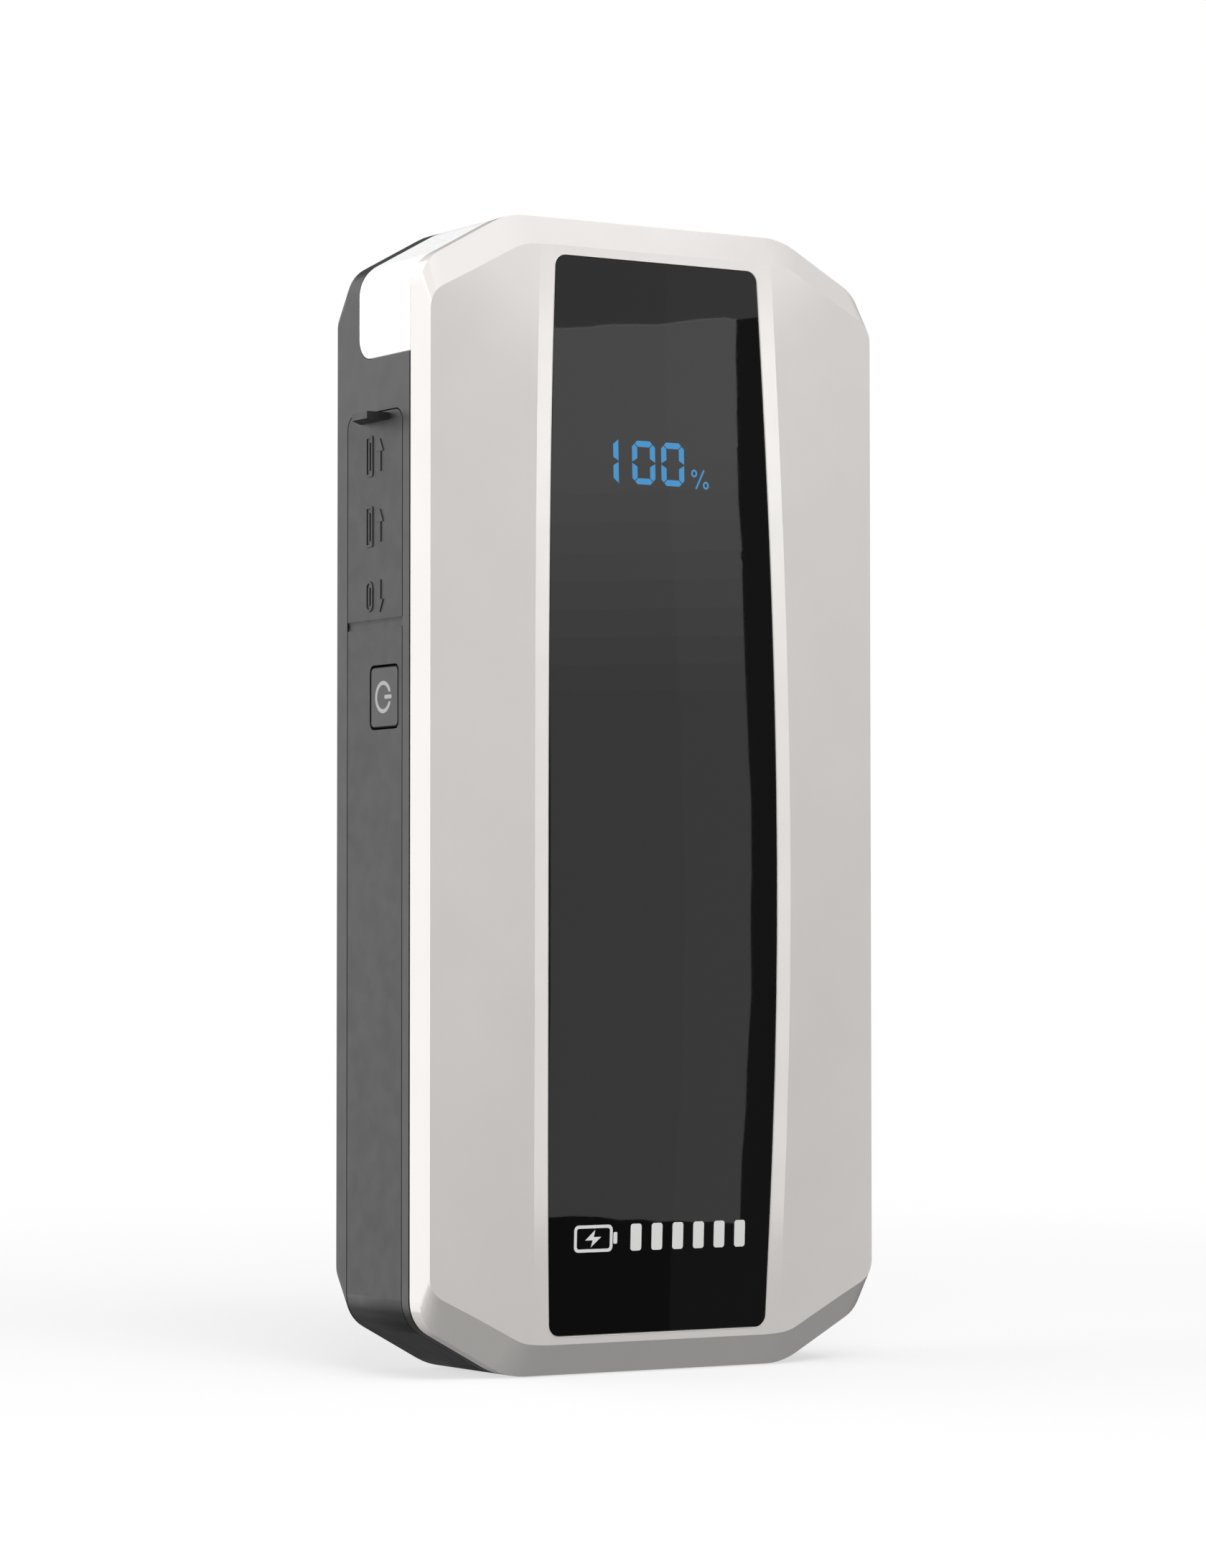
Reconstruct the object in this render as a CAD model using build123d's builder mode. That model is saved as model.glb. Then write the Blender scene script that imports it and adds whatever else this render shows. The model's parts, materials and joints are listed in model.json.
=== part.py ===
from build123d import *
from math import atan, cos, degrees, pi, sin, tan
import os

os.makedirs("parts", exist_ok=True)

# Frame: Z runs along the length, -Y is the display side, -X is the side with the ports.
# The origin is the middle of the bottom end, the face that the bank stands on.

# ---- driving dimensions, mm ----
WIDTH = 81.8
HEIGHT = 180.0
HALF_WIDTH = WIDTH / 2

# outline seen from the front: a rectangle with four chamfered, rounded corners
CHAMFER_X = 15.43
CHAMFER_Z = 8.53
CHAMFER_ANGLE = atan(CHAMFER_Z / CHAMFER_X)
SIDE_CORNER_R = 6.0
END_CORNER_R = 12.0

# depth: both faces have the same bevel, side edge and crown
BEVEL_Y = 11.78
EDGE_Y = 14.8
CROWN_END_Y = 14.95
CROWN_RISE = 2.2
CROWN_Z = 75.0
CROWN_SPAN_DOWN = 80.0
CROWN_SPAN_UP = 107.0
CROWN_POWER = 1.3
BEVEL_INSET = 4.45
BEVEL_SIDE_R = 4.2
BEVEL_END_R = 9.0
BEVEL_REACH_Y = 17.8
CREASE_HALF = 23.7
CREASE_TAPER = 1.8
DISH_RIM = 0.3
DISH_DROP = 0.09
CROWN_LENGTH = 90.0
CROWN_STATIONS = (-5.0, 12.0, 30.0, 52.0, 75.0, 100.0, 125.0, 150.0, 168.0, 186.0)
CROWN_OVERRUN = 3.0
FAR = 60.0
CLEAR = 1.0

# shells
SEAM_Y = -8.4
SEAM_GAP = 0.4
FRONT_RIM_Y = SEAM_Y - SEAM_GAP / 2
REAR_RIM_Y = SEAM_Y + SEAM_GAP / 2
LIP_OUT = 1.3
LIP_IN = 2.6
LIP_FIT = 0.1
LIP_Y = -10.4
FRONT_WALL = 3.0
FRONT_SKIN = 3.3
REAR_WALL = 2.7
REAR_SKIN = 2.4

# glossy front panel and the digits in it
PANEL_Z0 = 6.3
PANEL_Z1 = HEIGHT - PANEL_Z0
PANEL_HALF = 21.1
PANEL_TAPER = 2.1
PANEL_CORNER_R = 1.8
PANEL_THICK = 1.4
PANEL_FIT = 0.12
TAPE_THICK = 0.2
TAPE_IN = 1.2
TAPE_WIDTH = 3.0
TAPE_CORNER_R = 0.5
DIGIT_DEPTH = 0.3
DIGIT_Z = 138.6
DIGIT_H = 6.86
DIGIT_W = 4.26
DIGIT_STROKE = 0.96
DIGIT_CUT = 0.95
DIGIT_WAIST = 0.55
DIGIT_GAP = 0.1
DIGIT_X = (-3.08, 2.32)
ONE_X = -7.72
PERCENT_X = 7.39
PERCENT_Z = 139.94
PERCENT_STEP = (1.08, 0.91)
PERCENT_RING = (0.56, 0.62)
PERCENT_LINE = 0.3
PERCENT_BAR = 3.46
PERCENT_ANGLE = 63

# lamp round the top end
LENS_Z = 158.1
LENS_REAR_Y = 7.68
LENS_CORNER_R = 3.4
LENS_THICK = 2.0
LENS_FIT = 0.15

# soft band let into the sides and the bottom, and the port cover that continues it
BAND_Y0 = -5.94
BAND_Y1 = 11.33
BAND_GAP = 0.4
BAND_DEPTH = 1.0
BAND_TOP_Z = 149.4
BAND_CORNER_R = 2.0
HINGE_Z0 = 115.7
HINGE_Z1 = 117.1
HINGE_WEB = 0.6
HINGE_SET_IN = 0.15
COVER_THICK = 1.5
COVER_SEAT = 1.7
TAB_OUT = 3.8
TAB_THICK = 1.15
TAB_Y0 = -1.6
TAB_Y1 = 3.2
TAB_ROOT_Y1 = 7.3
TAB_TOP_DROP = 0.3

# ports, from the top: two USB-A outputs and one USB-C input
PORT_Y = (BAND_Y0 + BAND_Y1) / 2
PORT_FACE_X = -38.9
USB_A_Z = (143.2, 132.2)
USB_C_Z = 121.2
USB_A_WIDE = 13.1
USB_A_HIGH = 5.72
USB_A_DEEP = 14.0
USB_A_SHEET = 0.3
USB_A_TONGUE = (11.1, 1.84)
USB_A_TONGUE_SHIFT = 0.75
USB_TONGUE_RECESS = 1.2
USB_C_WIDE = 8.94
USB_C_HIGH = 3.16
USB_C_DEEP = 7.4
USB_C_SHEET = 0.3
USB_C_TONGUE = (6.7, 0.7)
PLUG_DEEP = 2.0
USB_FIT = 0.1
LEG_SIZE = (2.0, 0.5)
USB_A_LEGS = (9.8, 2.8)
USB_C_LEGS = (1.85, 3.7)
PLUG_A = (11.3, 1.5)
PLUG_A_DROP = 1.5
PLUG_C = (7.2, 1.3)
PLUG_C_DEEP = 0.9
BEZEL_THICK = 1.5
BAY_RIM = 1.0
BEZEL_RIM = 1.3

# power button
BUTTON_Y = -0.4
BUTTON_Z = 104.95
BUTTON_HOLE = (9.2, 10.05)
BUTTON_GAP = 0.3
BUTTON_HOLE_R = 1.2
BUTTON_TRAVEL = 0.5
FLANGE_OVER = 0.7
FLANGE_THICK = 0.8
SYMBOL_Y = -0.03
SYMBOL_R = 2.2
SYMBOL_STROKE = 0.63
SYMBOL_DEPTH = 0.25
SYMBOL_GAP = 1.5
SYMBOL_BAR = 2.3
SYMBOL_BAR_SHIFT = 1.55
BUTTON_EDGE = 0.2
SWITCH_X = -35.5
SWITCH_SIZE = (3.5, 6.0, 6.0)
PLUNGER_R = 1.6
PLUNGER_OUT = 0.9
PLUNGER_IN = 0.9

# electronics
BOARD_Y0 = -7.4
BOARD_THICK = 1.6
BOARD_Y1 = BOARD_Y0 + BOARD_THICK
BOARD_X0 = -35.2
BOARD_X1 = 35.2
BOARD_Z0 = 101.2
BOARD_Z1 = 160.0
BOARD_CORNER_R = 2.0
BOARD_HOLE_R = 1.3
BOARD_SCREWS = ((-20.0, 107.5), (31.5, 107.5), (31.5, 157.0), (-31.0, 154.0))
POST_R = 2.5
CHIP_HEIGHT = 1.2
CHIPS = ((-5.0, 126.0, 7.0, 7.0), (8.0, 133.0, 5.0, 6.0), (-14.0, 141.0, 5.0, 5.0), (20.0, 150.0, 6.0, 5.0),
         (-17.0, 121.0, 4.0, 5.0))
INDUCTOR_HEIGHT = 5.0
INDUCTORS = ((22.0, 135.0, 10.0, 10.0), (22.0, 121.0, 10.0, 10.0))
CAPACITOR_SIZE = (3.15, 7.7)
CAPACITORS = ((3.0, 146.0), (-6.0, 148.0), (-16.0, 152.0), (9.0, 118.0))
DISPLAY_SIZE = (23.0, 6.4, 10.5)
DISPLAY_X = 0.0
DISPLAY_Z = 141.9
WINDOW_FIT = 0.25

# lamp inside
CARRIER_INSET = 6.4
CARRIER_THICK = 1.6
FLEX_THICK = 0.4
LED_SIZE = (3.5, 2.8, 0.8)
LED_PITCH = 5.6
LED_TOP_COUNT = 8
LED_CHAMFER_PITCH = 5.0
LED_SIDE_Z = 163.0
LAMP_Y0 = -5.4
LAMP_Y1 = 6.6
LAMP_Z = 160.5
CARRIER_Y1 = 12.4
LENS_FLANGE = 0.8
LENS_FLANGE_REACH = 1.4

# battery
CELL_COUNT = 4
CELL_SIZE = (60.0, 5.3, 80.0)
CELL_Z0 = 19.0
CELL_PITCH = 5.6
CELL_Y0 = -10.5
CELL_EDGE_R = 1.0
CELL_INSET = 4.0
FRAME_WALL = 1.0
TAB_SIZE = (6.0, 1.0, 0.6)
TAB_X = 12.0
PROTECTION_HALF = 25.0
PROTECTION_THICK = 1.0
LEAD_R = 0.8
LEAD_X = 4.0
LEAD_TOP_Z = 112.0
FRAME_Y0 = -8.0
FRAME_Y1 = 9.5

# screws under the front panel
SHELL_SCREWS = ((-15.0, 12.0), (15.0, 12.0), (-15.0, 166.5), (15.0, 166.5))
BOSS_R = 2.9
SCREW_R = 1.0
SCREW_HEAD_R = 1.9
SCREW_HEAD = 0.9
SCREW_LENGTH = 9.0
SCREW_SEAT_Y = -12.6
SCREW_FIT = 0.15
SOCKET_R = 0.7
SOCKET_DEEP = 0.5
POST_END_Y = 14.6
BOARD_SCREW_LENGTH = 6.0


def at_y(y):
    """Plane facing the display side, through the given Y."""
    return Plane.XZ.offset(-y)


def at_x(x):
    """Plane facing the port side, through the given X: local x runs along -Y, local y along +Z."""
    return Plane(origin=(x, 0, 0), x_dir=(0, -1, 0), z_dir=(-1, 0, 0))


def outline_corners(side, chamfer, end):
    """Corners of the eight-sided outline, moved in by a distance for each kind of side."""
    slope = tan(CHAMFER_ANGLE)
    moved = CHAMFER_Z + chamfer / cos(CHAMFER_ANGLE)
    low = moved - slope * side
    x = HALF_WIDTH - side
    run = HALF_WIDTH - (moved - end) / slope
    right = [(run, end), (x, low), (x, HEIGHT - low), (run, HEIGHT - end)]
    return right + [(-px, pz) for px, pz in reversed(right)]


def rounded_face(corners, side_r, end_r):
    """Face with the outline's corners rounded: side corners and end corners apart."""
    widest = max(x for x, z in corners)
    with BuildSketch() as face:
        with BuildLine():
            Polyline(*corners, close=True)
        make_face()
        side_points = [v for v in face.vertices() if abs(abs(v.X) - widest) < 0.01]
        fillet(side_points, radius=side_r)
        end_z = min(z for x, z in corners)
        end_points = [v for v in face.vertices() if min(v.Y - end_z, HEIGHT - end_z - v.Y) < 0.01]
        fillet(end_points, radius=end_r)
    return face.sketch


def prism(inset, y0, y1):
    """Solid inside the outline moved in by inset, from y0 to y1."""
    face = rounded_face(
        outline_corners(inset, inset, inset), SIDE_CORNER_R - inset / 2, END_CORNER_R - inset
    )
    with BuildPart() as slice_of_body:
        with BuildSketch(at_y(y1)):
            add(face)
        extrude(amount=y1 - y0)
    return slice_of_body.part


def bevelled_end(direction):
    """Tapering end of the body: direction is -1 for the display side, 1 for the back."""
    reach = (BEVEL_REACH_Y - BEVEL_Y) / (EDGE_Y - BEVEL_Y)
    inset = BEVEL_INSET * reach
    outer = rounded_face(outline_corners(0, 0, 0), SIDE_CORNER_R, END_CORNER_R)
    inner = rounded_face(
        outline_corners(0, inset, inset),
        SIDE_CORNER_R + (BEVEL_SIDE_R - SIDE_CORNER_R) * reach,
        END_CORNER_R + (BEVEL_END_R - END_CORNER_R) * reach,
    )
    with BuildPart() as end:
        with BuildSketch(at_y(direction * BEVEL_Y)):
            add(outer)
        with BuildSketch(at_y(direction * BEVEL_REACH_Y)):
            add(inner)
        loft(ruled=True)
    return end.part


def crown_y(z):
    """Depth of the middle of a face at a height."""
    span = CROWN_SPAN_UP if z > CROWN_Z else CROWN_SPAN_DOWN
    angle = min(1.0, abs(z - CROWN_Z) / span) * pi / 2
    return CROWN_END_Y + CROWN_RISE * cos(angle) ** CROWN_POWER


def crease_half(z):
    """Half width of the middle of a face at a height."""
    return CREASE_HALF - CREASE_TAPER * ((z - CROWN_Z) / CROWN_LENGTH) ** 2


def panel_half(z):
    """Half width of the glossy panel at a height."""
    return PANEL_HALF - PANEL_TAPER * ((z - CROWN_Z) / CROWN_LENGTH) ** 2


def crowned_core(inset, full=True):
    """Bar between the crowned faces, moved in by inset. Without full it ends flat at the middle.

    Each face falls from its two creases to the sides, and very slightly to a flat dish between them.
    """
    far_x = HALF_WIDTH + CROWN_OVERRUN
    with BuildPart() as core:
        for z in CROWN_STATIONS:
            crease = crease_half(z)
            dish = panel_half(z) + DISH_RIM
            slope = (crown_y(z) - EDGE_Y) / (HALF_WIDTH - crease)
            far_y = EDGE_Y - slope * CROWN_OVERRUN - inset
            crease_y = crown_y(z) - inset
            dish_y = crease_y - DISH_DROP
            left = [(-far_x, -far_y), (-crease, -crease_y), (-dish, -dish_y)]
            front = left + [(-x, y) for x, y in reversed(left)]
            if full:
                back = [(x, -y) for x, y in reversed(front)]
            else:
                back = [(far_x, 0), (-far_x, 0)]
            with BuildSketch(Plane.XY.offset(z)):
                with BuildLine():
                    Polyline(*front, *back, close=True)
                make_face()
        loft()
    return core.part


def panel_face(grow):
    """Barrel-sided face of the front panel, grown by a margin."""
    low, mid, high = [
        (panel_half(z) + grow, z) for z in (PANEL_Z0 - grow, HEIGHT / 2, PANEL_Z1 + grow)
    ]
    low_left, mid_left, high_left = [(-x, z) for x, z in (low, mid, high)]
    with BuildSketch() as face:
        with BuildLine():
            ThreePointArc(low, mid, high)
            Line(high, high_left)
            ThreePointArc(high_left, mid_left, low_left)
            Line(low_left, low)
        make_face()
        fillet(face.vertices(), radius=max(PANEL_CORNER_R + grow, TAPE_CORNER_R))
    return face.sketch


def panel_prism(grow):
    """The panel's outline as a solid running through the display side."""
    face = panel_face(grow)
    with BuildPart() as column:
        with BuildSketch(at_y(0)):
            add(face)
        extrude(amount=FAR)
    return column.part


def block(x0, x1, y0, y1, z0, z1):
    """Plain box between two corners."""
    place = Pos((x0 + x1) / 2, (y0 + y1) / 2, (z0 + z1) / 2)
    return place * Box(x1 - x0, y1 - y0, z1 - z0, mode=Mode.PRIVATE)


def side_slab(x0, x1, y0, y1, z0, z1, radius):
    """Slab from x0 to x1 whose rectangle, seen from the side, has rounded corners."""
    with BuildPart() as slab:
        with BuildSketch(at_x(x1)):
            with Locations((-(y0 + y1) / 2, (z0 + z1) / 2)):
                RectangleRounded(y1 - y0, z1 - z0, radius)
        extrude(amount=x1 - x0)
    return slab.part


def ring(outer, inner, y0, y1):
    """Ring between two inset outlines."""
    return prism(outer, y0, y1) - prism(inner, y0 - CLEAR, y1 + CLEAR)


def lamp_zone(margin):
    """Space that the lamp's lens takes up, with rounded lower rear corners."""
    return side_slab(
        -FAR, FAR, -FAR, LENS_REAR_Y + margin, LENS_Z - margin, HEIGHT + FAR, LENS_CORNER_R + margin
    )


def band_slab(margin):
    """Space up to the top of the band, with rounded top corners."""
    return side_slab(
        -FAR, FAR, BAND_Y0 - margin, BAND_Y1 + margin, -FAR, BAND_TOP_Z + margin, BAND_CORNER_R + margin
    )


def upright_segment(x, side, end):
    """Corner points of an outer upright of a digit: side -1 is left, end 1 is the upper one."""
    out, high = DIGIT_W / 2, DIGIT_H / 2
    half_cut, half_gap = DIGIT_CUT / 2, DIGIT_GAP / 2
    shape = [
        (out, DIGIT_GAP),
        (out, high - DIGIT_CUT),
        (out - half_cut + half_gap, high - half_cut - half_gap),
        (out - DIGIT_STROKE, high - DIGIT_STROKE - DIGIT_GAP),
        (out - DIGIT_STROKE, DIGIT_GAP + DIGIT_WAIST),
    ]
    return [(x + side * u, DIGIT_Z + high + end * v) for u, v in shape]


def level_segment(x, end):
    """Corner points of a digit's top segment, or its bottom one for end -1."""
    out, high = DIGIT_W / 2, DIGIT_H / 2
    half_cut, half_gap = DIGIT_CUT / 2, DIGIT_GAP / 2
    right = [
        (out - DIGIT_CUT, high),
        (out - half_cut - half_gap, high - half_cut + half_gap),
        (out - DIGIT_STROKE - DIGIT_GAP, high - DIGIT_STROKE),
    ]
    shape = right + [(-u, v) for u, v in reversed(right)]
    return [(x + u, DIGIT_Z + high + end * v) for u, v in shape]


def one_segment(x, end):
    """Corner points of the figure one's upper half, or its lower one for end -1. x is its right edge."""
    high = DIGIT_H / 2
    shape = [
        (0, DIGIT_GAP),
        (0, high),
        (-DIGIT_STROKE, high - DIGIT_CUT * 0.8),
        (-DIGIT_STROKE, DIGIT_GAP + DIGIT_WAIST),
    ]
    return [(x + u, DIGIT_Z + high + end * v) for u, v in shape]


def finish(part, name):
    """Label a piece and write it."""
    part.label = name
    export_step(part, f"parts/{name}.step")


# ---- shared shapes ----
core = crowned_core(0)
front_crown = crowned_core(0, full=False)
envelope = prism(0, -BEVEL_Y, BEVEL_Y) + bevelled_end(-1) + bevelled_end(1)
body = envelope & core

# ---- front shell ----
front_half = body & block(-FAR, FAR, -FAR, FRONT_RIM_Y, -FAR, HEIGHT + FAR)
front_hollow = prism(FRONT_WALL, -FAR, 0) & crowned_core(FRONT_SKIN, full=False)
lip_seat = prism(LIP_OUT - LIP_FIT, LIP_Y - LIP_FIT, 0)
panel_recess = panel_prism(PANEL_FIT) - crowned_core(PANEL_THICK + TAPE_THICK, full=False)

with BuildPart() as front_shell:
    add(front_half)
    add(front_hollow, mode=Mode.SUBTRACT)
    add(lip_seat, mode=Mode.SUBTRACT)
    with BuildSketch(at_y(SEAM_Y)):
        with Locations(*SHELL_SCREWS):
            Circle(BOSS_R)
    extrude(amount=SEAM_Y - SCREW_SEAT_Y + SCREW_HEAD)
    add(panel_recess, mode=Mode.SUBTRACT)
    with BuildSketch(at_y(0)):
        with Locations(*SHELL_SCREWS):
            Circle(SCREW_R + SCREW_FIT)
        with Locations((DISPLAY_X, DISPLAY_Z)):
            Rectangle(DISPLAY_SIZE[0] + 2 * WINDOW_FIT, DISPLAY_SIZE[2] + 2 * WINDOW_FIT)
    extrude(amount=FAR, mode=Mode.SUBTRACT)
    with BuildSketch(at_y(SCREW_SEAT_Y)):
        with Locations(*SHELL_SCREWS):
            Circle(SCREW_HEAD_R + SCREW_FIT)
    extrude(amount=FAR, mode=Mode.SUBTRACT)
finish(front_shell.part, "front_shell")

# ---- front panel, its tape and its digits ----
digit_layer = front_crown - crowned_core(DIGIT_DEPTH, full=False)
digit_shapes = [one_segment(ONE_X, end) for end in (1, -1)]
for x in DIGIT_X:
    for end in (1, -1):
        digit_shapes.append(level_segment(x, end))
        digit_shapes += [upright_segment(x, side, end) for side in (1, -1)]
with BuildPart() as display_digits:
    with BuildSketch(at_y(0)):
        for shape in digit_shapes:
            with BuildLine():
                Polyline(*shape, close=True)
            make_face()
        with Locations(
            (PERCENT_X - PERCENT_STEP[0], PERCENT_Z + PERCENT_STEP[1]),
            (PERCENT_X + PERCENT_STEP[0], PERCENT_Z - PERCENT_STEP[1]),
        ):
            Ellipse(*PERCENT_RING)
            Ellipse(PERCENT_RING[0] - PERCENT_LINE, PERCENT_RING[1] - PERCENT_LINE, mode=Mode.SUBTRACT)
        with Locations(Location((PERCENT_X, PERCENT_Z), PERCENT_ANGLE)):
            SlotOverall(PERCENT_BAR, PERCENT_LINE)
    extrude(amount=FAR)
    add(digit_layer, mode=Mode.INTERSECT)
finish(display_digits.part, "display_digits")

panel_back = crowned_core(PANEL_THICK, full=False)
panel_slab = (panel_prism(0) & front_crown) - panel_back
with BuildPart() as front_panel:
    add(panel_slab)
    add(display_digits.part, mode=Mode.SUBTRACT)
finish(front_panel.part, "front_panel")

tape_ring = panel_prism(-TAPE_IN) - panel_prism(-TAPE_IN - TAPE_WIDTH)
tape_layer = panel_back - crowned_core(PANEL_THICK + TAPE_THICK, full=False)
with BuildPart() as panel_tape:
    add(tape_ring)
    add(tape_layer, mode=Mode.INTERSECT)
finish(panel_tape.part, "panel_tape")

# ---- rear shell ----
rear_half = body & block(-FAR, FAR, REAR_RIM_Y, FAR, -FAR, HEIGHT + FAR)
lip = ring(LIP_OUT, LIP_IN, LIP_Y, REAR_RIM_Y + CLEAR)
rear_hollow = prism(REAR_WALL, LIP_Y - CLEAR, FAR) & crowned_core(REAR_SKIN)
lens_window = ring(-CLEAR, REAR_WALL + CLEAR, -FAR, FAR) & lamp_zone(LENS_FIT)
band_channel = ring(-CLEAR, BAND_DEPTH, BAND_Y0 - BAND_GAP / 2, BAND_Y1 + BAND_GAP / 2)
band_channel = band_channel & band_slab(BAND_GAP / 2)
cover_seat = side_slab(
    -HALF_WIDTH - CLEAR, -HALF_WIDTH + COVER_SEAT, BAND_Y0 - BAND_GAP / 2, BAND_Y1 + BAND_GAP / 2,
    HINGE_Z0 - BAND_CORNER_R, BAND_TOP_Z + BAND_GAP / 2, BAND_CORNER_R + BAND_GAP / 2,
)
BAY_Y0 = BAND_Y0 + BAY_RIM
BAY_Y1 = BAND_Y1 - BAY_RIM
BAY_Z0 = HINGE_Z1 + BAY_RIM
BAY_Z1 = BAND_TOP_Z - BAY_RIM
bay = side_slab(-FAR, -HALF_WIDTH + FRONT_WALL, BAY_Y0, BAY_Y1, BAY_Z0, BAY_Z1, BAND_CORNER_R)
button_hole = side_slab(
    -FAR, -HALF_WIDTH + FRONT_WALL,
    BUTTON_Y - BUTTON_HOLE[0] / 2, BUTTON_Y + BUTTON_HOLE[0] / 2,
    BUTTON_Z - BUTTON_HOLE[1] / 2, BUTTON_Z + BUTTON_HOLE[1] / 2, BUTTON_HOLE_R,
)

with BuildPart() as rear_shell:
    add(rear_half)
    add(lip)
    add(rear_hollow, mode=Mode.SUBTRACT)
    add(lens_window, mode=Mode.SUBTRACT)
    add(band_channel, mode=Mode.SUBTRACT)
    add(cover_seat, mode=Mode.SUBTRACT)
    add(bay, mode=Mode.SUBTRACT)
    add(button_hole, mode=Mode.SUBTRACT)
    with BuildSketch(at_y(POST_END_Y)):
        with Locations(*SHELL_SCREWS):
            Circle(BOSS_R)
            Circle(SCREW_R, mode=Mode.SUBTRACT)
    extrude(amount=POST_END_Y - SEAM_Y)
    with BuildSketch(at_y(POST_END_Y)):
        with Locations(*BOARD_SCREWS):
            Circle(POST_R)
            Circle(SCREW_R, mode=Mode.SUBTRACT)
    extrude(amount=POST_END_Y - BOARD_Y1)
finish(rear_shell.part, "rear_shell")

# ---- band round the sides and the bottom ----
band_ring = ring(0, BAND_DEPTH, BAND_Y0, BAND_Y1) & band_slab(0)
cover_side = block(-FAR, 0, -FAR, FAR, HINGE_Z0, HEIGHT)
with BuildPart() as side_band:
    add(band_ring)
    add(cover_side, mode=Mode.SUBTRACT)
    add(button_hole, mode=Mode.SUBTRACT)
finish(side_band.part, "side_band")

# ---- port cover with its pull tab and plugs, and its hinge ----
COVER_IN_X = -HALF_WIDTH + COVER_THICK
TAB_ROOT_X = -HALF_WIDTH + COVER_THICK / 2
tab_top = BAND_TOP_Z - TAB_TOP_DROP
with BuildPart() as port_cover:
    with BuildSketch(at_x(COVER_IN_X)) as cover_face:
        with Locations((-PORT_Y, (HINGE_Z1 + BAND_TOP_Z) / 2)):
            Rectangle(BAND_Y1 - BAND_Y0, BAND_TOP_Z - HINGE_Z1)
        fillet(cover_face.vertices().group_by(Axis.Y)[-1], radius=BAND_CORNER_R)
    extrude(amount=COVER_THICK)
    with BuildSketch(Plane.XY.offset(tab_top - TAB_THICK)):
        with BuildLine():
            Polyline(
                (TAB_ROOT_X, TAB_Y0), (TAB_ROOT_X, TAB_ROOT_Y1), (-HALF_WIDTH, TAB_ROOT_Y1),
                (-HALF_WIDTH - TAB_OUT, TAB_Y1), (-HALF_WIDTH - TAB_OUT, TAB_Y0), close=True,
            )
        make_face()
    extrude(amount=TAB_THICK)
    with BuildSketch(at_x(PORT_FACE_X + PLUG_DEEP)):
        with Locations(*[(-PORT_Y, z - PLUG_A_DROP) for z in USB_A_Z]):
            RectangleRounded(*PLUG_A, PLUG_A[1] / 3)
    extrude(amount=PORT_FACE_X + PLUG_DEEP - COVER_IN_X)
    with BuildSketch(at_x(PORT_FACE_X + PLUG_C_DEEP)):
        with Locations((-PORT_Y, USB_C_Z)):
            SlotOverall(*PLUG_C)
    extrude(amount=PORT_FACE_X + PLUG_C_DEEP - COVER_IN_X)
finish(port_cover.part, "port_cover")

with BuildPart() as port_hinge:
    with Locations((
        -HALF_WIDTH + HINGE_SET_IN + HINGE_WEB / 2, PORT_Y, (HINGE_Z0 + HINGE_Z1) / 2,
    )):
        Box(HINGE_WEB, BAND_Y1 - BAND_Y0 - BAND_GAP, HINGE_Z1 - HINGE_Z0)
finish(port_hinge.part, "port_hinge")

# ---- port bezel and sockets ----
WALL_IN_X = -HALF_WIDTH + REAR_WALL
with BuildPart() as port_bezel:
    with BuildSketch(at_x(WALL_IN_X + BEZEL_THICK)):
        with Locations((-PORT_Y, (BAY_Z0 + BAY_Z1) / 2)):
            RectangleRounded(
                BAY_Y1 - BAY_Y0 + 2 * BEZEL_RIM, BAY_Z1 - BAY_Z0 + 2 * BEZEL_RIM, BAND_CORNER_R
            )
    extrude(amount=BEZEL_THICK)
    with BuildSketch(at_x(WALL_IN_X)):
        with Locations((-PORT_Y, (BAY_Z0 + BAY_Z1) / 2)):
            RectangleRounded(
                BAY_Y1 - BAY_Y0 - 2 * USB_FIT, BAY_Z1 - BAY_Z0 - 2 * USB_FIT, BAND_CORNER_R - USB_FIT
            )
    extrude(amount=WALL_IN_X - PORT_FACE_X)
    with BuildSketch(at_x(0)):
        with Locations(*[(-PORT_Y, z) for z in USB_A_Z]):
            Rectangle(USB_A_WIDE + 2 * USB_FIT, USB_A_HIGH + 2 * USB_FIT)
        with Locations((-PORT_Y, USB_C_Z)):
            SlotOverall(USB_C_WIDE + 2 * USB_FIT, USB_C_HIGH + 2 * USB_FIT)
    extrude(amount=FAR, mode=Mode.SUBTRACT)
finish(port_bezel.part, "port_bezel")

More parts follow.
